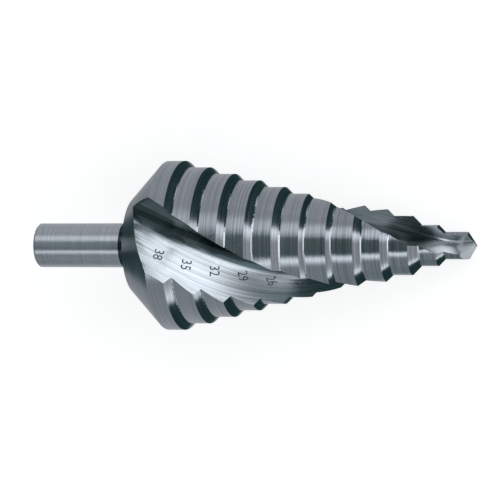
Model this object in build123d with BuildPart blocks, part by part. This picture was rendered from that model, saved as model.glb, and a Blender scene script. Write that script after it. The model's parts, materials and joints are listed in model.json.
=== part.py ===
"""Step drill, 6 to 38 mm in twelve steps, with two spiral flutes and a plain round shank.

Everything is in millimetres. The drill is one piece of ground steel. It is first made about its
own axis, tip up, and then laid down on the rims that it comes to rest on.
"""

import os
from math import acos, atan2, cos, degrees, radians, sin, sqrt, tan

from build123d import *

# Stepped head, measured along the axis from the front corner of the largest step
STEP_DIAMETERS = [38, 35, 32, 29, 26, 23, 21, 19, 16, 13, 9, 6]
STEP_PITCH = 5.76
RISER_ANGLE = 45.0
RISER_ROOT_RADIUS = 0.5
REAR_LAND = 3.9
PILOT_LAND = 5.2
POINT_ANGLE = 118.0

# Cone and face behind the largest step
BACK_FACE_DIAMETER = 21.8
BACK_CONE_LENGTH = 7.8

# Shank, with a relief groove beside the back face
SHANK_DIAMETER = 10.0
SHANK_LENGTH = 23.3
SHANK_CHAMFER = 0.4
GROOVE_WIDTH = 2.5
GROOVE_DEPTH = 0.3
GROOVE_RAMP_ANGLE = 15.0

# Two flutes: lead of the helix, and the flute's section at the largest step and at the point
FLUTE_COUNT = 2
LEAD_REAR = 181.0
LEAD_TIP = 116.0
FLOOR_REAR = 15.0
FLOOR_TIP = 0.9
TROUGH_DEPTH_REAR = 2.0
TROUGH_DEPTH_TIP = 0.1
TROUGH_WIDTH_REAR = 3.6
TROUGH_WIDTH_TIP = 0.3
TROUGH_BLEND_REAR = 8.0
TROUGH_BLEND_TIP = 0.3
ROOT_OFFSET_REAR = 2.2
ROOT_OFFSET_TIP = 0.45
CUTTING_OFFSET_REAR = 4.45
CUTTING_OFFSET_TIP = 0.47
FLUTE_SECTIONS = 20
FLUTE_MARGIN = 2.0

# Split point: a notch beside each lip, which carries the lip to the centre
NOTCH_OFFSET = 0.1
NOTCH_SLOPE = 25.5
NOTCH_OPENING = 45.0

# Steps that the drill lies on, counted from the largest: a cutting corner and a round side
CORNER_FOOT_INDEX = 2
ROUND_FOOT_INDEX = 3
FOOT_PASS_COUNT = 12

step_radii = [diameter / 2 for diameter in STEP_DIAMETERS]
risers = [
    (larger - smaller) / tan(radians(RISER_ANGLE))
    for larger, smaller in zip(step_radii, step_radii[1:])
]
corners = [index * STEP_PITCH for index in range(len(step_radii) - 1)]
roots = [corner + riser for corner, riser in zip(corners, risers)]
pilot_start = roots[-1]
point_start = pilot_start + PILOT_LAND
corners.append(point_start)
apex = point_start + step_radii[-1] / tan(radians(POINT_ANGLE / 2))
back_face = -REAR_LAND - BACK_CONE_LENGTH
shank_end = back_face - SHANK_LENGTH


def between(rear, tip, place, end):
    """Value at a place along the axis: rear up to the datum, tip past the end, even between them."""
    return rear + (tip - rear) * max(0.0, min(place / end, 1.0))


def flute_turn(place):
    """Degrees that the flutes have turned at a place along the axis, the lead shortening evenly."""
    rate_rear = 360 / LEAD_REAR
    rate_tip = 360 / LEAD_TIP
    return rate_rear * place + (rate_tip - rate_rear) * place**2 / (2 * point_start)


def floor_height(place):
    """Distance from the axis to the flute's flat floor: the core thins to the pilot's start."""
    return between(FLOOR_REAR, FLOOR_TIP, place, pilot_start)


def trough_size(place):
    """Depth of the trough below the flute's floor, and its width from the root to the floor."""
    depth = between(TROUGH_DEPTH_REAR, TROUGH_DEPTH_TIP, place, pilot_start)
    width = between(TROUGH_WIDTH_REAR, TROUGH_WIDTH_TIP, place, pilot_start)
    return depth, width


def flute_plane(place):
    """Plane square to the axis, with its x direction along the normal of the flute's floor."""
    return Plane.XY.offset(place).rotated((0, 0, flute_turn(place)))


def rake_face(place):
    """Root of the rake face in the flute's plane, and the direction from there to the cutting edge."""
    depth, width = trough_size(place)
    root_offset = between(ROOT_OFFSET_REAR, ROOT_OFFSET_TIP, place, point_start)
    root = Vector(floor_height(place) - depth, -root_offset)
    rim_radius = between(step_radii[0], step_radii[-1], place, point_start)
    edge_offset = between(CUTTING_OFFSET_REAR, CUTTING_OFFSET_TIP, place, point_start)
    edge = Vector(sqrt(rim_radius**2 - edge_offset**2), -edge_offset)
    return root, (edge - root).normalized()


def rim_point(radius, place, angle):
    """Point on a rim, at degrees from the direction that the first flute's floor faces at the datum."""
    return Vector(radius * cos(radians(angle)), radius * sin(radians(angle)), place)


def cutting_angle(radius, place):
    """Degrees round the axis to the first flute's cutting edge."""
    root, along = rake_face(place)
    nearest = root - along * root.dot(along)
    edge = nearest + along * sqrt(radius**2 - nearest.length**2)
    return flute_turn(place) + degrees(atan2(edge.Y, edge.X))


def heel_angle(radius, place):
    """Degrees round the axis to the first flute's trailing edge."""
    return flute_turn(place) + degrees(acos(floor_height(place) / radius))


def resting_plane():
    """Surface that the drill lies on, through a heel, a cutting corner and a round side.

    It faces the drill, with its x direction under the axis towards the tip, and its origin is under
    the middle of the drill's length.
    """
    heel = rim_point(step_radii[0], corners[0], heel_angle(step_radii[0], corners[0]))
    corner_radius = step_radii[CORNER_FOOT_INDEX]
    corner_place = corners[CORNER_FOOT_INDEX]
    corner = rim_point(corner_radius, corner_place, cutting_angle(corner_radius, corner_place))
    side_angle = flute_turn(corner_place)
    for _ in range(FOOT_PASS_COUNT):
        side = rim_point(step_radii[ROUND_FOOT_INDEX], corners[ROUND_FOOT_INDEX], side_angle)
        outward = (corner - heel).cross(side - heel).normalized()
        if outward.dot(corner) < 0:
            outward = -outward
        side_angle = degrees(atan2(outward.Y, outward.X))
    towards_tip = (Vector(0, 0, 1) - outward * outward.Z).normalized()
    tip_reach = apex * towards_tip.Z
    end_radius = SHANK_DIAMETER / 2 - SHANK_CHAMFER
    rear_reach = shank_end * towards_tip.Z - end_radius * sqrt(1 - towards_tip.Z**2)
    over_middle = Vector(0, 0, (tip_reach + rear_reach) / 2 / towards_tip.Z)
    middle = over_middle + outward * outward.dot(corner - over_middle)
    return Plane(middle, x_dir=towards_tip, z_dir=-outward)


# Turned blank: shank, back cone, twelve steps and the point
with BuildPart() as blank:
    with BuildSketch(Plane.XZ) as outline:
        with BuildLine():
            shank_radius = SHANK_DIAMETER / 2
            groove_radius = shank_radius - GROOVE_DEPTH
            groove_start = back_face - GROOVE_WIDTH
            ramp = GROOVE_DEPTH / tan(radians(GROOVE_RAMP_ANGLE))
            points = [
                (0, shank_end),
                (shank_radius - SHANK_CHAMFER, shank_end),
                (shank_radius, shank_end + SHANK_CHAMFER),
                (shank_radius, groove_start),
                (groove_radius, groove_start + ramp),
                (groove_radius, back_face),
                (BACK_FACE_DIAMETER / 2, back_face),
                (step_radii[0], -REAR_LAND),
                (step_radii[0], 0),
            ]
            for radius, root, corner in zip(step_radii[1:], roots, corners[1:]):
                points += [(radius, root), (radius, corner)]
            points.append((0, apex))
            Polyline(*points, close=True)
        make_face()
        for radius, root in zip(step_radii[1:], roots):
            fillet(outline.vertices().sort_by_distance((radius, root))[0], RISER_ROOT_RADIUS)
    revolve(axis=Axis.Z)

# Space of one flute, lofted through sections that turn with the helix and follow the thinning core.
# From the flat floor a trough falls to the root, where the hooked rake face begins
with BuildPart() as flute:
    reach = step_radii[0] + FLUTE_MARGIN
    first = back_face
    last = apex + FLUTE_MARGIN
    for index in range(FLUTE_SECTIONS):
        place = first + (last - first) * index / (FLUTE_SECTIONS - 1)
        floor = floor_height(place)
        depth, width = trough_size(place)
        root, along = rake_face(place)
        blend = between(TROUGH_BLEND_REAR, TROUGH_BLEND_TIP, place, pilot_start)
        with BuildSketch(flute_plane(place)) as section:
            with BuildLine():
                shoulder = (floor, root.Y + width)
                outer_end = root + along * (reach / along.X)
                Polyline(root, outer_end, (outer_end.X, reach), (floor, reach), shoulder, close=True)
            make_face()
            fillet(section.vertices().sort_by_distance(shoulder)[0], blend)
    loft()

# Space of one notch of the split point: a wall along the lip and a floor that falls to the far heel
with BuildPart() as notch:
    far = 2 * step_radii[-1]
    lip_plane = flute_plane(apex)
    slope = radians(NOTCH_SLOPE)
    along_lip = lip_plane.x_dir * cos(slope) - lip_plane.z_dir * sin(slope)
    wedge_start = lip_plane.origin + lip_plane.y_dir * NOTCH_OFFSET
    wedge_plane = Plane(wedge_start, x_dir=lip_plane.y_dir, z_dir=along_lip)
    with BuildSketch(wedge_plane):
        with BuildLine():
            fall = far * tan(radians(NOTCH_OPENING))
            Polyline((0, 0), (0, far), (far, far), (far, -fall), close=True)
        make_face()
    extrude(amount=far, both=True)

# The ground drill about its own axis
with BuildPart() as ground:
    add(blank.part)
    with PolarLocations(0, FLUTE_COUNT):
        add(flute.part, mode=Mode.SUBTRACT)
        add(notch.part, mode=Mode.SUBTRACT)

# Laid down to rest on its rims
surface = resting_plane()
with BuildPart() as step_drill:
    with Locations(surface.location.inverse()):
        add(ground.part)

step_drill.part.label = "step_drill"
os.makedirs("parts", exist_ok=True)
export_step(step_drill.part, "parts/step_drill.step")
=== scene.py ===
"""Studio scene of the step drill: its ground steel, its size marks, the light and the camera.

Sizes are in millimetres and are turned to metres where an object needs them. A place is a distance
along the drill's axis, from the front corner of the largest step towards the tip. A turn is an
angle round that axis. A soft edge is a pair of numbers: where something is gone, and where it is
full.
"""

import json
from math import cos, pi, radians, sin

import bpy
from mathutils import Matrix, Vector


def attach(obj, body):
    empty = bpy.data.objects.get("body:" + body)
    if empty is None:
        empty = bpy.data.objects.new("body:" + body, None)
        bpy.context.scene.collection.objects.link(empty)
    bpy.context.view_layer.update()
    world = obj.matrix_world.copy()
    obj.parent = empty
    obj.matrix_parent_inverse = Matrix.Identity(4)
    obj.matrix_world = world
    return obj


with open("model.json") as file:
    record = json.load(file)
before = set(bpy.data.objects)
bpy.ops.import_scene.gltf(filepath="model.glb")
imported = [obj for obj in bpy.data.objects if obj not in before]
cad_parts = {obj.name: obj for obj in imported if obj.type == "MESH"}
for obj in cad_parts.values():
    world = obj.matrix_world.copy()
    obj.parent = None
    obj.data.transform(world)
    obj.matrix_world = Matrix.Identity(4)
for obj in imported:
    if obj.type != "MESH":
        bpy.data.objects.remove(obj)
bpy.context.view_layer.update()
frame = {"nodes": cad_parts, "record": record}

MM = 0.001

# The drill's turned outline
STEP_DIAMETERS = [38, 35, 32, 29, 26, 23, 21, 19, 16, 13, 9, 6]
STEP_PITCH = 5.76
REAR_LAND = 3.9
PILOT_LAND = 5.2
POINT_LENGTH = 1.8
BACK_FACE_DIAMETER = 21.8
BACK_CONE_LENGTH = 7.8
SHANK_DIAMETER = 10.0
SHANK_MIDDLE = -24.4

# Its two flutes: lead of the helix, height of the flat floor, and the trough and root beside it.
# The upper flute faces the start turn where the largest step's front corner is
LEAD_REAR = 181.0
LEAD_TIP = 116.0
FLOOR_REAR = 15.0
FLOOR_TIP = 0.9
TROUGH_DEPTH_REAR = 2.0
TROUGH_DEPTH_TIP = 0.1
ROOT_OFFSET_REAR = 2.2
ROOT_OFFSET_TIP = 0.45
FLUTE_START_TURN = 21.19

# Grinding lines. Real ones are about 0.02 mm wide, too fine to show, so they are drawn this wide
ROUND_LINE_WIDTH = 0.36
ROUND_LINE_LENGTH = 60.0
FLUTE_LINE_WIDTH = 0.3
FLUTE_LINE_LENGTH = 22.0

# How far each line leans, against the length of the surface's own direction, and what is left of
# that on the finely ground split point
ROUND_LINE_LEAN = 0.06
FLUTE_LINE_LEAN = 0.17
LENGTHWISE_LEAN = 0.06
LEAN_LEFT_AT_TIP = 0.25

# Steel: stretch of its reflections across the lines, and roughness from line to line
STEEL_STRETCH = 0.8
STEEL_ROUGHNESS = (0.15, 0.23)
SHANK_ROUGHNESS = 0.27
TIP_ROUGHNESS = 0.2

# Grain of the lines: how fine it is, and the spans of it that turn the colour and the roughness
# from one end to the other
GRAIN_DETAIL = 2.0
STREAK_SPAN = (0.3, 0.7)
ROUGHNESS_SPAN = (0.2, 0.8)

# Soft edges of the finishes and of the painted shade. A flute lies under the turned outline, in
# front of the back face. The ring of painted shade in the relief groove is measured from the back
# face, and the split point by its place
UNDER_OUTLINE = (0.04, 0.07)
HEAD_EDGE = (0.0, 0.1)
TIP_SPAN = (54.5, 57.5)
DARK_RING = (-3.0, -2.9)
SHANK_CLEARANCE = 0.1

# Painted shade in the trough: its edge as a share of the trough's depth, made uneven by the
# lines, its edge at the root, the places where it darkens, and where it runs out, later by the
# root
TROUGH_EDGE = (-0.02, -0.17)
TROUGH_UNEVENNESS = 0.16
ROOT_EDGE = (-0.2, 0.1)
TROUGH_DARKENS = (4.0, 10.0)
RUN_OUT = (59.5, 56.5)
RUN_OUT_SLANT = 1.3

# Towards the tip it takes up the whole narrow floor, and the foot of the rake face
NARROW_FLOOR = (41.0, 47.0)
FOOT_EDGE = (-0.3, -0.55)
FOOT_START = (46.5, 50.5)
FOOT_END = (59.5, 55.0)
FOOT_RADIUS = (6.0, 4.0)

# Size marks on the upper flute's floor: distance of each from the floor's middle towards the heel,
# and slant in degrees
MARK_DISTANCES = [6.2, 5.2, 3.8, 2.9, 2.7, 3.3]
MARK_SLANTS = [12, 9, 2, -3, -6, -6]
MARK_BEHIND_CORNER = 1.5
MARK_SIZE = 2.95
MARK_NARROWING = 0.82
MARK_RAISED = 0.02
MARK_SUNK = 0.05
MARK_CURVE_STEPS = 4
BURN_SIZE = 0.4
MARK_ROUGHNESS = 0.6

# Floor of white paper, and how strongly it glows for the camera
FLOOR_HALF_WIDTH = 4000.0
PAPER_ROUGHNESS = 0.9
PAPER_GLOW = 0.76

# Camera: turned round the drill's axis from the top, then pitched towards the tip
CAMERA_TURN = 8.79
CAMERA_PITCH = 15.669
CAMERA_ROLL = 0.075
CAMERA_DISTANCE = 509.6
CAMERA_AIM = 14.826
CAMERA_DROP = 1.03
CAMERA_FIELD = 12.49

# Ring of lamps round the drill's axis, as its lands mirror it: degrees up in the picture from the
# camera's side, and strength. The camera itself leaves a dark gap at 0
RING = [
    (-180, 0.46),
    (-84, 0.44),
    (-60, 0.41),
    (-50, 0.46),
    (-43, 1.1),
    (-36, 1.65),
    (-31, 1.3),
    (-25, 0.3),
    (-20, 0.02),
    (15, 0.02),
    (22, 0.13),
    (33, 0.58),
    (44, 0.58),
    (60, 0.42),
    (180, 0.46),
]
RING_MOST = 2.0

# Strength of the other lamps, and of the dark room round them
ROOM_STRENGTH = 0.055
SHANK_BAND_STRENGTH = 0.55
CARD_STRENGTH = 1.7
CARD_AHEAD_STRENGTH = (0.38, 1.2)
WINDOW_STRENGTH = 1.05
CONE_LAMP_STRENGTH = 0.42
RAKE_LAMP_STRENGTH = 0.3
FILL_STRENGTH = 0.55

# Shades before the lamps: share of the light that each takes
RING_SHADE = 0.65
CARD_LOW_SHADE = (0.45, 0.85)
CARD_SIDE_SHADE = 0.36

# Slants of the card's top and of the window's sill. Above, the card reaches further along the
# drill, and less far behind it
CARD_SLANT = 0.4
CARD_LONGER_ABOVE = 0.1
CARD_SHORTER_BEHIND = -0.12
WINDOW_SLANT = 0.57

# Strength at which the light turns from the dark room's tint to the lamps' own
LAMP_TINT = (0.05, 0.4)

step_radii = [diameter / 2 for diameter in STEP_DIAMETERS]
corners = [index * STEP_PITCH for index in range(len(step_radii) - 1)]
drops = [larger - smaller for larger, smaller in zip(step_radii, step_radii[1:])]
pilot_start = corners[-1] + drops[-1]
point_start = pilot_start + PILOT_LAND
back_face = -REAR_LAND - BACK_CONE_LENGTH

# The helix: turn of the flutes per millimetre at the datum, and how fast that grows
turn_rate = radians(360 / LEAD_REAR)
turn_growth = radians(360 / LEAD_TIP - 360 / LEAD_REAR) / (2 * point_start)

# The drill's own directions where it lies: to the tip, to its side and to its top
shank = next(mount for mount in frame["record"]["mounts"] if mount["name"] == "shank")
TIP = -Vector(shank["axis"]).normalized()
SIDE = Vector((0, 1, 0))
TOP = TIP.cross(SIDE)
DATUM = Vector(shank["pos_m"]) - TIP * SHANK_MIDDLE * MM


def axis_point(place):
    """Point of the drill's axis, in metres."""
    return DATUM + TIP * place * MM


def around(turn):
    """Direction square to the axis, at degrees from the top towards the side."""
    return TOP * cos(radians(turn)) + SIDE * sin(radians(turn))


# Camera's directions: to its right, up and back towards it
facing = around(CAMERA_TURN)
pitch = radians(CAMERA_PITCH)
BACK = facing * cos(pitch) + TIP * sin(pitch)
level_right = TIP * cos(pitch) - facing * sin(pitch)
level_up = BACK.cross(level_right)
roll = radians(CAMERA_ROLL)
RIGHT = level_right * cos(roll) + level_up * sin(roll)
UP = BACK.cross(RIGHT)


def add(tree, kind, inputs=None, **settings):
    """Adds a node with its settings. An input is a value, or another node's output to link."""
    made = tree.nodes.new(kind)
    for name, value in settings.items():
        setattr(made, name, value)
    for name, value in (inputs or {}).items():
        if isinstance(value, bpy.types.NodeSocket):
            tree.links.new(value, made.inputs[name])
        else:
            made.inputs[name].default_value = value
    return made.outputs


def new_material(name):
    """Empty node material, its tree and the input of its surface."""
    material = bpy.data.materials.new(name)
    material.use_nodes = True
    tree = material.node_tree
    tree.nodes.clear()
    output = tree.nodes.new("ShaderNodeOutputMaterial")
    return material, tree, output.inputs["Surface"]


def srgb(code):
    """Linear colour of an sRGB hex value."""
    channels = [int(code[index:index + 2], 16) / 255 for index in (1, 3, 5)]
    linear = [c / 12.92 if c <= 0.04045 else ((c + 0.055) / 1.055) ** 2.4 for c in channels]
    return (*linear, 1.0)


def inside_edges(tree, strength, edges, ramp="SMOOTHSTEP"):
    """Strength of a lamp or a finish inside its edges: each a value, where gone and where full."""
    for value, gone, full in edges:
        kept = add(
            tree,
            "ShaderNodeMapRange",
            {"Value": value, "From Min": gone, "From Max": full},
            interpolation_type=ramp,
        )[0]
        strength = add(tree, "ShaderNodeMath", {0: strength, 1: kept}, operation="MULTIPLY")[0]
    return strength


def drill_position(tree):
    """Shaded point from the drill's datum: offset, place, offset from the axis, and radius."""
    coordinates = add(tree, "ShaderNodeTexCoord")["Object"]
    metres = add(tree, "ShaderNodeVectorMath", {0: coordinates, 1: DATUM}, operation="SUBTRACT")[0]
    offset = add(tree, "ShaderNodeVectorMath", {0: metres, "Scale": 1 / MM}, operation="SCALE")[0]
    place, top, side = (
        add(tree, "ShaderNodeVectorMath", {0: offset, 1: way}, operation="DOT_PRODUCT")["Value"]
        for way in (TIP, TOP, SIDE)
    )
    section = add(tree, "ShaderNodeCombineXYZ", {0: top, 1: side})[0]
    radius = add(tree, "ShaderNodeVectorMath", {0: section}, operation="LENGTH")["Value"]
    return offset, place, section, radius


def turned_radius(tree, place):
    """Radius of the turned head at a place: the largest step less every riser and cone passed."""
    falls = [(corner, corner + drop, drop) for corner, drop in zip(corners, drops)]
    falls.append((point_start, point_start + POINT_LENGTH, step_radii[-1]))
    falls.append((-REAR_LAND, back_face, step_radii[0] - BACK_FACE_DIAMETER / 2))
    radius = step_radii[0]
    for start, end, fall in falls:
        lost = add(
            tree,
            "ShaderNodeMapRange",
            {"Value": place, "From Min": start, "From Max": end, "To Max": fall},
        )[0]
        radius = add(tree, "ShaderNodeMath", {0: radius, 1: lost}, operation="SUBTRACT")[0]
    return radius


def flute_position(tree, place, section):
    """Shaded point in the flute's turning section: height above its floor, distance across it."""
    rate = add(
        tree, "ShaderNodeMath", {0: place, 1: turn_growth, 2: turn_rate}, operation="MULTIPLY_ADD"
    )[0]
    turned = add(tree, "ShaderNodeMath", {0: place, 1: rate}, operation="MULTIPLY")[0]
    angle = add(
        tree, "ShaderNodeMath", {0: turned, 1: radians(FLUTE_START_TURN)}, operation="SUBTRACT"
    )[0]
    straight = add(
        tree, "ShaderNodeVectorRotate", {"Vector": section, "Angle": angle}, rotation_type="Z_AXIS"
    )[0]
    split = add(tree, "ShaderNodeSeparateXYZ", {0: straight})
    out = add(tree, "ShaderNodeMath", {0: split["X"]}, operation="ABSOLUTE")[0]
    floor = add(
        tree,
        "ShaderNodeMapRange",
        {"Value": place, "From Max": pilot_start, "To Min": FLOOR_REAR, "To Max": FLOOR_TIP},
    )[0]
    height = add(tree, "ShaderNodeMath", {0: out, 1: floor}, operation="SUBTRACT")[0]
    return height, split["Y"]


def grinding_lines(tree, offset, place, in_flute):
    """Direction of the grinding lines: round the axis, or along the flute's helix."""
    round_way = add(
        tree, "ShaderNodeVectorMath", {0: TIP, 1: offset}, operation="CROSS_PRODUCT"
    )[0]
    round_line = add(tree, "ShaderNodeVectorMath", {0: round_way}, operation="NORMALIZE")[0]
    rate = add(
        tree,
        "ShaderNodeMath",
        {0: place, 1: 2 * turn_growth, 2: turn_rate},
        operation="MULTIPLY_ADD",
    )[0]
    helix = add(tree, "ShaderNodeVectorMath", {0: round_way, "Scale": rate}, operation="SCALE")[0]
    helix = add(tree, "ShaderNodeVectorMath", {0: helix, 1: TIP}, operation="ADD")[0]
    helix_line = add(tree, "ShaderNodeVectorMath", {0: helix}, operation="NORMALIZE")[0]
    return add(
        tree,
        "ShaderNodeMix",
        {"Factor": in_flute, 4: round_line, 5: helix_line},
        data_type="VECTOR",
    )[1]


def grinding_grain(tree, place, section, height, aside, in_flute):
    """Three values that vary from line to line, stretched along the grinding lines."""
    split = add(tree, "ShaderNodeSeparateXYZ", {0: section})
    round_grain = add(tree, "ShaderNodeCombineXYZ", {0: split["X"], 1: split["Y"], 2: place})[0]
    round_scale = (1 / ROUND_LINE_LENGTH, 1 / ROUND_LINE_LENGTH, 1 / ROUND_LINE_WIDTH)
    round_grain = add(
        tree, "ShaderNodeVectorMath", {0: round_grain, 1: round_scale}, operation="MULTIPLY"
    )[0]
    flute_grain = add(tree, "ShaderNodeCombineXYZ", {0: height, 1: aside, 2: place})[0]
    flute_scale = (1 / FLUTE_LINE_WIDTH, 1 / FLUTE_LINE_WIDTH, 1 / FLUTE_LINE_LENGTH)
    flute_grain = add(
        tree, "ShaderNodeVectorMath", {0: flute_grain, 1: flute_scale}, operation="MULTIPLY"
    )[0]
    grain_place = add(
        tree,
        "ShaderNodeMix",
        {"Factor": in_flute, 4: round_grain, 5: flute_grain},
        data_type="VECTOR",
    )[1]
    grain = add(
        tree, "ShaderNodeTexNoise", {"Vector": grain_place, "Scale": 1.0, "Detail": GRAIN_DETAIL}
    )["Color"]
    return add(tree, "ShaderNodeSeparateXYZ", {0: grain})


def dark_trough(tree, place, radius, height, aside, grain, in_flute):
    """Painted shade: in the trough that falls to the root of a flute, and at the foot of the rake
    face.
    """
    depth = add(
        tree,
        "ShaderNodeMapRange",
        {
            "Value": place,
            "From Max": pilot_start,
            "To Min": TROUGH_DEPTH_REAR,
            "To Max": TROUGH_DEPTH_TIP,
        },
    )[0]
    sunk = add(tree, "ShaderNodeMath", {0: height, 1: depth}, operation="DIVIDE")[0]
    sunk = add(
        tree,
        "ShaderNodeMath",
        {0: grain["Y"], 1: TROUGH_UNEVENNESS, 2: sunk},
        operation="MULTIPLY_ADD",
    )[0]
    narrow = inside_edges(tree, -1.0, [(place, *NARROW_FLOOR)])
    sunk = add(tree, "ShaderNodeMath", {0: sunk, 1: narrow}, operation="ADD")[0]
    root = add(
        tree,
        "ShaderNodeMapRange",
        {
            "Value": place,
            "From Max": point_start,
            "To Min": ROOT_OFFSET_REAR,
            "To Max": ROOT_OFFSET_TIP,
        },
    )[0]
    past_root = add(tree, "ShaderNodeMath", {0: aside, 1: root}, operation="ADD")[0]
    run_out = add(
        tree,
        "ShaderNodeMath",
        {0: past_root, 1: RUN_OUT_SLANT, 2: place},
        operation="MULTIPLY_ADD",
    )[0]
    trough = inside_edges(
        tree, in_flute, [(sunk, *TROUGH_EDGE), (past_root, *ROOT_EDGE), (run_out, *RUN_OUT)]
    )
    foot = inside_edges(
        tree,
        in_flute,
        [
            (past_root, *FOOT_EDGE),
            (place, *FOOT_START),
            (place, *FOOT_END),
            (radius, *FOOT_RADIUS),
        ],
    )
    return add(tree, "ShaderNodeMath", {0: trough, 1: foot}, operation="MAXIMUM")[0]


def ground_steel():
    """High-speed steel, ground all over.

    The wheel leaves fine lines round the steps and the shank, and along the flutes. They stretch
    each reflection across themselves, comb its edges and vary from line to line. The shank is
    duller. Painted shade darkens the relief groove beside the head, and the trough at the root of
    each flute.
    """
    material, tree, surface = new_material("ground_high_speed_steel")
    offset, place, section, radius = drill_position(tree)
    height, aside = flute_position(tree, place, section)
    normal = add(tree, "ShaderNodeNewGeometry")["Normal"]

    # Flutes, split point, shank, and the ring of painted shade in the relief groove
    outline = turned_radius(tree, place)
    under = add(tree, "ShaderNodeMath", {0: outline, 1: radius}, operation="SUBTRACT")[0]
    past_back = add(tree, "ShaderNodeMath", {0: place, 1: back_face}, operation="SUBTRACT")[0]
    in_flute = inside_edges(
        tree, 1.0, [(under, *UNDER_OUTLINE), (past_back, *HEAD_EDGE)], "LINEAR"
    )
    at_tip = inside_edges(tree, in_flute, [(place, *TIP_SPAN)])
    slim = add(
        tree,
        "ShaderNodeMath",
        {0: radius, 1: SHANK_DIAMETER / 2 + SHANK_CLEARANCE},
        operation="LESS_THAN",
    )[0]
    behind = add(tree, "ShaderNodeMath", {0: past_back, 1: 0.0}, operation="LESS_THAN")[0]
    on_shank = add(tree, "ShaderNodeMath", {0: slim, 1: behind}, operation="MULTIPLY")[0]
    groove_shade = inside_edges(tree, on_shank, [(past_back, *DARK_RING)], "LINEAR")

    # The reflections stretch across the lines, and each line leans its own way a little
    line = grinding_lines(tree, offset, place, in_flute)
    across = add(tree, "ShaderNodeVectorMath", {0: line, 1: normal}, operation="CROSS_PRODUCT")[0]
    across = add(tree, "ShaderNodeVectorMath", {0: across}, operation="NORMALIZE")[0]
    grain = grinding_grain(tree, place, section, height, aside, in_flute)
    across_lean = add(
        tree,
        "ShaderNodeMapRange",
        {"Value": in_flute, "To Min": ROUND_LINE_LEAN, "To Max": FLUTE_LINE_LEAN},
    )[0]
    lean_left = add(
        tree, "ShaderNodeMapRange", {"Value": at_tip, "To Min": 1.0, "To Max": LEAN_LEFT_AT_TIP}
    )[0]
    leaning = normal
    for way, value, most in (
        (across, grain["X"], across_lean),
        (line, grain["Y"], LENGTHWISE_LEAN),
    ):
        lean = add(tree, "ShaderNodeMath", {0: value, 1: 0.5}, operation="SUBTRACT")[0]
        for share in (most, lean_left):
            lean = add(tree, "ShaderNodeMath", {0: lean, 1: share}, operation="MULTIPLY")[0]
        shift = add(tree, "ShaderNodeVectorMath", {0: way, "Scale": lean}, operation="SCALE")[0]
        leaning = add(tree, "ShaderNodeVectorMath", {0: leaning, 1: shift}, operation="ADD")[0]
    leaning = add(tree, "ShaderNodeVectorMath", {0: leaning}, operation="NORMALIZE")[0]

    # Colour: more streaky in the flutes, bright at the split point, painted shade in the trough
    # and in the relief groove beside the head, and an evener satin on the shank
    darkest, lightest = STREAK_SPAN
    streak = add(
        tree,
        "ShaderNodeMapRange",
        {"Value": grain["Z"], "From Min": darkest, "From Max": lightest},
    )[0]
    even, streaky, satin = (
        add(
            tree,
            "ShaderNodeMix",
            {"Factor": streak, 6: srgb(darker), 7: srgb(lighter)},
            data_type="RGBA",
        )[2]
        for darker, lighter in (
            ("#AEB3B7", "#CFD3D6"),
            ("#A4ABAF", "#D6DADC"),
            ("#D4D8DC", "#E3E6E9"),
        )
    )
    # Painted shade for the trough, lighter near the largest step and deeper towards the tip
    shade_deepens = inside_edges(tree, 1.0, [(place, *TROUGH_DARKENS)])
    dark = add(
        tree,
        "ShaderNodeMix",
        {"Factor": shade_deepens, 6: srgb("#849092"), 7: srgb("#4A585A")},
        data_type="RGBA",
    )[2]
    trough_shade = dark_trough(tree, place, radius, height, aside, grain, in_flute)
    colour = even
    for area, finish in (
        (in_flute, streaky),
        (at_tip, srgb("#ECEEF0")),
        # painted shade in the trough
        (trough_shade, dark),
        (on_shank, satin),
        # painted shade in the relief groove beside the head
        (groove_shade, srgb("#3A4549")),
    ):
        colour = add(
            tree, "ShaderNodeMix", {"Factor": area, 6: colour, 7: finish}, data_type="RGBA"
        )[2]

    start, end = ROUGHNESS_SPAN
    smoothest, roughest = STEEL_ROUGHNESS
    roughness = add(
        tree,
        "ShaderNodeMapRange",
        {
            "Value": grain["Z"],
            "From Min": start,
            "From Max": end,
            "To Min": smoothest,
            "To Max": roughest,
        },
    )[0]
    for area, finish in ((on_shank, SHANK_ROUGHNESS), (at_tip, TIP_ROUGHNESS)):
        roughness = add(
            tree, "ShaderNodeMix", {"Factor": area, 2: roughness, 3: finish}, data_type="FLOAT"
        )[0]
    steel = add(
        tree,
        "ShaderNodeBsdfPrincipled",
        {
            "Base Color": colour,
            "Metallic": 1.0,
            "Roughness": roughness,
            "Anisotropic": STEEL_STRETCH,
            "Tangent": across,
            "Normal": leaning,
        },
    )[0]
    tree.links.new(steel, surface)
    return material


def marked_steel():
    """The laser leaves the steel dull and dark grey, with a slightly uneven burn."""
    material, tree, surface = new_material("laser_marked_steel")
    coordinates = add(tree, "ShaderNodeTexCoord")["Object"]
    burn = add(
        tree, "ShaderNodeTexNoise", {"Vector": coordinates, "Scale": 1 / (BURN_SIZE * MM)}
    )["Fac"]
    colour = add(
        tree,
        "ShaderNodeMix",
        {"Factor": burn, 6: srgb("#3E4548"), 7: srgb("#5A6164")},
        data_type="RGBA",
    )[2]
    mark = add(
        tree, "ShaderNodeBsdfPrincipled", {"Base Color": colour, "Roughness": MARK_ROUGHNESS}
    )[0]
    tree.links.new(mark, surface)
    return material


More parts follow.
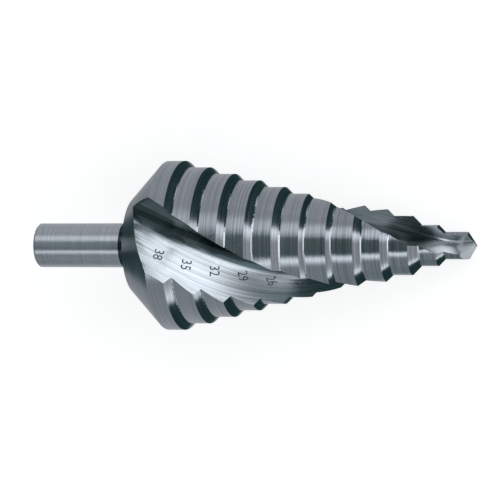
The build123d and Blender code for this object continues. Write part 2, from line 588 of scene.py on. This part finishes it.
def floor_material():
    """White paper, matt. It glows for the camera, so that it is white without more light."""
    material, tree, surface = new_material("white_paper")
    paper = add(
        tree,
        "ShaderNodeBsdfPrincipled",
        {"Base Color": srgb("#C6C4C1"), "Roughness": PAPER_ROUGHNESS},
    )[0]
    path = add(tree, "ShaderNodeLightPath")
    seen = path["Is Camera Ray"]
    for ray in (path["Is Glossy Ray"], path["Is Transmission Ray"]):
        seen = add(tree, "ShaderNodeMath", {0: seen, 1: ray}, operation="MAXIMUM")[0]
    strength = add(tree, "ShaderNodeMath", {0: seen, 1: PAPER_GLOW}, operation="MULTIPLY")[0]
    glow = add(tree, "ShaderNodeEmission", {"Color": srgb("#FFFFFF"), "Strength": strength})[0]
    both = add(tree, "ShaderNodeAddShader", {0: paper, 1: glow})[0]
    tree.links.new(both, surface)
    return material


def make_floor():
    """Large plain floor at the height that the drill lies on."""
    half = FLOOR_HALF_WIDTH * MM
    rim = [(-half, -half, 0), (half, -half, 0), (half, half, 0), (-half, half, 0)]
    mesh = bpy.data.meshes.new("floor")
    mesh.from_pydata(rim, [], [(0, 1, 2, 3)])
    floor = bpy.data.objects.new("floor", mesh)
    bpy.context.scene.collection.objects.link(floor)
    mesh.materials.append(floor_material())
    # The steel mirrors a dark room beyond the paper, so the floor stays out of reflections
    floor.visible_glossy = False


def size_mark(diameter, corner, distance, slant, material):
    """Number of a step, laser-marked on the flute's floor beside it, its top towards the tip."""
    name = f"size_mark_{diameter}"
    text = bpy.data.curves.new(name, "FONT")
    text.body = str(diameter)
    text.size = MARK_SIZE
    text.align_x = "CENTER"
    text.align_y = "CENTER"
    text.resolution_u = MARK_CURVE_STEPS
    # Both faces are laid on the floor below, so any thickness does to tell them apart
    text.extrude = 1.0
    holder = bpy.data.objects.new(name + "_text", text)
    mesh = bpy.data.meshes.new_from_object(holder)
    mesh.name = name
    bpy.data.objects.remove(holder)
    place = corner - MARK_BEHIND_CORNER
    outward = radians(FLUTE_START_TURN) - (turn_rate + turn_growth * place) * place
    normal = TOP * cos(outward) + SIDE * sin(outward)
    sideways = SIDE * cos(outward) - TOP * sin(outward)
    reading = -sideways * cos(radians(slant)) - TIP * sin(radians(slant))
    upright = normal.cross(reading)
    over = axis_point(place) + (normal * step_radii[0] - sideways * distance) * MM
    to_node = node.matrix_world.inverted()
    ray = (to_node.to_3x3() @ -normal).normalized()
    for vertex in mesh.vertices:
        x, y, z = vertex.co
        start = over + (reading * x * MARK_NARROWING + upright * y) * MM
        _, point, _, _ = node.ray_cast(to_node @ start, ray)
        raised = MARK_RAISED if z > 0 else -MARK_SUNK
        vertex.co = node.matrix_world @ point + normal * raised * MM
    mark = bpy.data.objects.new(name, mesh)
    bpy.context.scene.collection.objects.link(mark)
    mesh.materials.clear()
    mesh.materials.append(material)
    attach(mark, "root")


def ring_lights(tree, ahead, front, upward):
    """Ring of soft lamps round the drill's middle, which the lands and the shank mirror.

    Its lower side is dimmer towards the tip, and short, so that the numbered flute's rake face
    mirrors a dark place behind it. Its gap before the camera is dark for the lands, and a dim band
    fills it for the shank behind them.
    """
    turn = add(tree, "ShaderNodeMath", {0: upward, 1: front}, operation="ARCTAN2")[0]
    fraction = add(tree, "ShaderNodeMapRange", {"Value": turn, "From Min": -pi, "From Max": pi})[0]
    ring = add(tree, "ShaderNodeValToRGB", {0: fraction})[0]
    stops = ring.node.color_ramp.elements
    stops.remove(stops[-1])
    for index, (degrees, strength) in enumerate(RING):
        position = (degrees + 180) / 360
        stop = stops[0] if index == 0 else stops.new(position)
        stop.position = position
        grey = strength / RING_MOST
        stop.color = (grey, grey, grey, 1.0)
    light = add(tree, "ShaderNodeMath", {0: ring, 1: RING_MOST}, operation="MULTIPLY")[0]
    shade = inside_edges(tree, RING_SHADE, [(ahead, -0.25, -0.19), (upward, -0.45, -0.75)])
    lit = add(tree, "ShaderNodeMath", {0: 1.0, 1: shade}, operation="SUBTRACT")[0]
    light = add(tree, "ShaderNodeMath", {0: light, 1: lit}, operation="MULTIPLY")[0]
    near_side = (ahead, -0.03, -0.12)
    far_side = (ahead, -0.62, -0.5)
    lower = inside_edges(tree, light, [near_side, (ahead, -0.395, -0.355)])
    upper = inside_edges(tree, light, [near_side, far_side, (upward, -0.3, -0.1)])
    behind = inside_edges(tree, light, [near_side, far_side, (front, -0.5, -0.7)])
    shank_band = inside_edges(
        tree, SHANK_BAND_STRENGTH, [(ahead, -0.312, -0.34), (ahead, -0.41, -0.375)]
    )
    return [lower, upper, behind, shank_band]


def card_light(tree, ahead, front, upward):
    """Large pale card before the tip, which the risers and the flutes' floors mirror.

    Its top falls away ahead, and its low corner behind the drill is missing. Straight ahead, where
    the risers mirror it, it is brighter above than below.
    """
    top = add(
        tree, "ShaderNodeMath", {0: ahead, 1: CARD_SLANT, 2: upward}, operation="MULTIPLY_ADD"
    )[0]
    low_corner = add(tree, "ShaderNodeMath", {0: upward, 1: front}, operation="ADD")[0]
    longer = inside_edges(tree, CARD_LONGER_ABOVE, [(upward, 0.12, 0.3)])
    reach = add(tree, "ShaderNodeMath", {0: ahead, 1: longer}, operation="ADD")[0]
    shorter = inside_edges(tree, CARD_SHORTER_BEHIND, [(upward, 0.5, 0.7)])
    back = add(tree, "ShaderNodeMath", {0: front, 1: shorter}, operation="ADD")[0]
    ahead_below, ahead_above = CARD_AHEAD_STRENGTH
    for_risers = add(
        tree,
        "ShaderNodeMapRange",
        {
            "Value": upward,
            "From Min": 0.05,
            "From Max": 0.3,
            "To Min": ahead_below,
            "To Max": ahead_above,
        },
        interpolation_type="SMOOTHSTEP",
    )[0]
    towards_risers = inside_edges(tree, 1.0, [(ahead, 0.7, 0.85)])
    light = add(
        tree,
        "ShaderNodeMix",
        {"Factor": towards_risers, 2: CARD_STRENGTH, 3: for_risers},
        data_type="FLOAT",
    )[0]
    light = inside_edges(
        tree,
        light,
        [(reach, -0.08, 0.0), (back, -0.55, -0.4), (low_corner, -1.02, -0.88), (top, 0.79, 0.69)],
    )

    # Its shades: on the lower side, most of all ahead, a little more beside the drill, and the
    # camera's own
    least, most = CARD_LOW_SHADE
    low_shade = add(
        tree,
        "ShaderNodeMapRange",
        {"Value": ahead, "From Min": 0.2, "From Max": 0.42, "To Min": least, "To Max": most},
        interpolation_type="SMOOTHSTEP",
    )[0]
    low_shade = inside_edges(tree, low_shade, [(upward, -0.1, -0.75), (ahead, 0.76, 0.62)])
    side_shade = inside_edges(tree, CARD_SIDE_SHADE, [(upward, -0.5, -0.68), (ahead, 0.2, 0.1)])
    camera_shade = inside_edges(
        tree,
        1.0,
        [
            (front, 0.3, 0.5),
            (upward, -0.46, -0.38),
            (upward, 0.36, 0.28),
            (ahead, 0.36, 0.24),
        ],
    )
    for shade in (low_shade, side_shade, camera_shade):
        lit = add(tree, "ShaderNodeMath", {0: 1.0, 1: shade}, operation="SUBTRACT")[0]
        light = add(tree, "ShaderNodeMath", {0: light, 1: lit}, operation="MULTIPLY")[0]
    return light


def window_light(tree, ahead, front, upward):
    """Small bright window above, which only the split point and the flute beside it mirror."""
    sill = add(
        tree, "ShaderNodeMath", {0: front, 1: WINDOW_SLANT, 2: ahead}, operation="MULTIPLY_ADD"
    )[0]
    return inside_edges(
        tree,
        WINDOW_STRENGTH,
        [
            (sill, 0.08, 0.15),
            (ahead, 0.34, 0.28),
            (front, 0.34, 0.24),
            (front, -0.4, -0.3),
            (upward, 0.5, 0.7),
        ],
    )


def rear_lights(tree, ahead, front, upward):
    """Dim lamps: for the back cone, for the farther rake face, and two that other views show."""
    spread = add(tree, "ShaderNodeMath", {0: upward}, operation="ABSOLUTE")[0]
    cone = inside_edges(
        tree,
        CONE_LAMP_STRENGTH,
        [(front, -0.4, -0.52), (spread, 0.38, 0.28), (ahead, -0.3, -0.36), (ahead, -0.88, -0.76)],
    )
    rake = inside_edges(
        tree,
        RAKE_LAMP_STRENGTH,
        [(ahead, -0.42, -0.52), (upward, -0.28, -0.08), (front, -0.1, 0.1)],
    )
    behind_tip = inside_edges(tree, FILL_STRENGTH, [(ahead, 0.6, 0.75), (front, -0.42, -0.55)])
    behind_shank = inside_edges(tree, FILL_STRENGTH, [(ahead, -0.8, -0.92), (front, 0.0, 0.2)])
    return [cone, rake, behind_tip, behind_shank]


def make_world():
    """Soft studio light: dark room, a large pale card before the tip and a ring of lamps.

    Each direction is measured along three others, as cosines: ahead to the tip, front to the side
    that faces up and to the camera, and upward in the picture. The lamps' edges are such cosines,
    fitted to what each part of the drill mirrors.
    """
    world = bpy.data.worlds.new("studio")
    bpy.context.scene.world = world
    world.use_nodes = True
    tree = world.node_tree
    way = add(tree, "ShaderNodeTexCoord")["Generated"]
    ahead, front, upward = (
        add(tree, "ShaderNodeVectorMath", {0: way, 1: axis}, operation="DOT_PRODUCT")["Value"]
        for axis in (TIP, facing, around(CAMERA_TURN + 90))
    )
    lamps = [
        *ring_lights(tree, ahead, front, upward),
        card_light(tree, ahead, front, upward),
        window_light(tree, ahead, front, upward),
        *rear_lights(tree, ahead, front, upward),
    ]
    light = ROOM_STRENGTH
    for lamp in lamps:
        light = add(tree, "ShaderNodeMath", {0: light, 1: lamp}, operation="MAXIMUM")[0]
    brightness = inside_edges(tree, 1.0, [(light, *LAMP_TINT)])
    tint = add(
        tree,
        "ShaderNodeMix",
        {"Factor": brightness, 6: srgb("#A6EEF4"), 7: srgb("#F3F8FF")},
        data_type="RGBA",
    )[2]

    # The camera itself sees a plain white room beyond the floor
    seen = add(tree, "ShaderNodeLightPath")["Is Camera Ray"]
    strength = add(
        tree, "ShaderNodeMix", {"Factor": seen, 2: light, 3: 1.0}, data_type="FLOAT"
    )[0]
    colour = add(
        tree, "ShaderNodeMix", {"Factor": seen, 6: tint, 7: srgb("#FFFFFF")}, data_type="RGBA"
    )[2]
    background = tree.nodes["Background"]
    tree.links.new(strength, background.inputs["Strength"])
    tree.links.new(colour, background.inputs["Color"])


def make_camera():
    """Camera at the viewing angle of the photograph."""
    data = bpy.data.cameras.new("camera")
    camera = bpy.data.objects.new("camera", data)
    bpy.context.scene.collection.objects.link(camera)
    data.lens_unit = "FOV"
    data.angle = radians(CAMERA_FIELD)
    aim = axis_point(CAMERA_AIM) - UP * CAMERA_DROP * MM
    camera.location = aim + BACK * CAMERA_DISTANCE * MM
    camera.rotation_mode = "QUATERNION"
    camera.rotation_quaternion = Matrix((RIGHT, UP, BACK)).transposed().to_quaternion()
    bpy.context.scene.camera = camera


node = frame["nodes"]["step_drill"]
make_camera()
make_world()
make_floor()

node.data.materials.clear()
node.data.materials.append(ground_steel())

marking = marked_steel()
marks = zip(STEP_DIAMETERS, corners, MARK_DISTANCES, MARK_SLANTS)
for diameter, corner, distance, slant in marks:
    size_mark(diameter, corner, distance, slant, marking)

bpy.context.scene.view_settings.view_transform = "Standard"
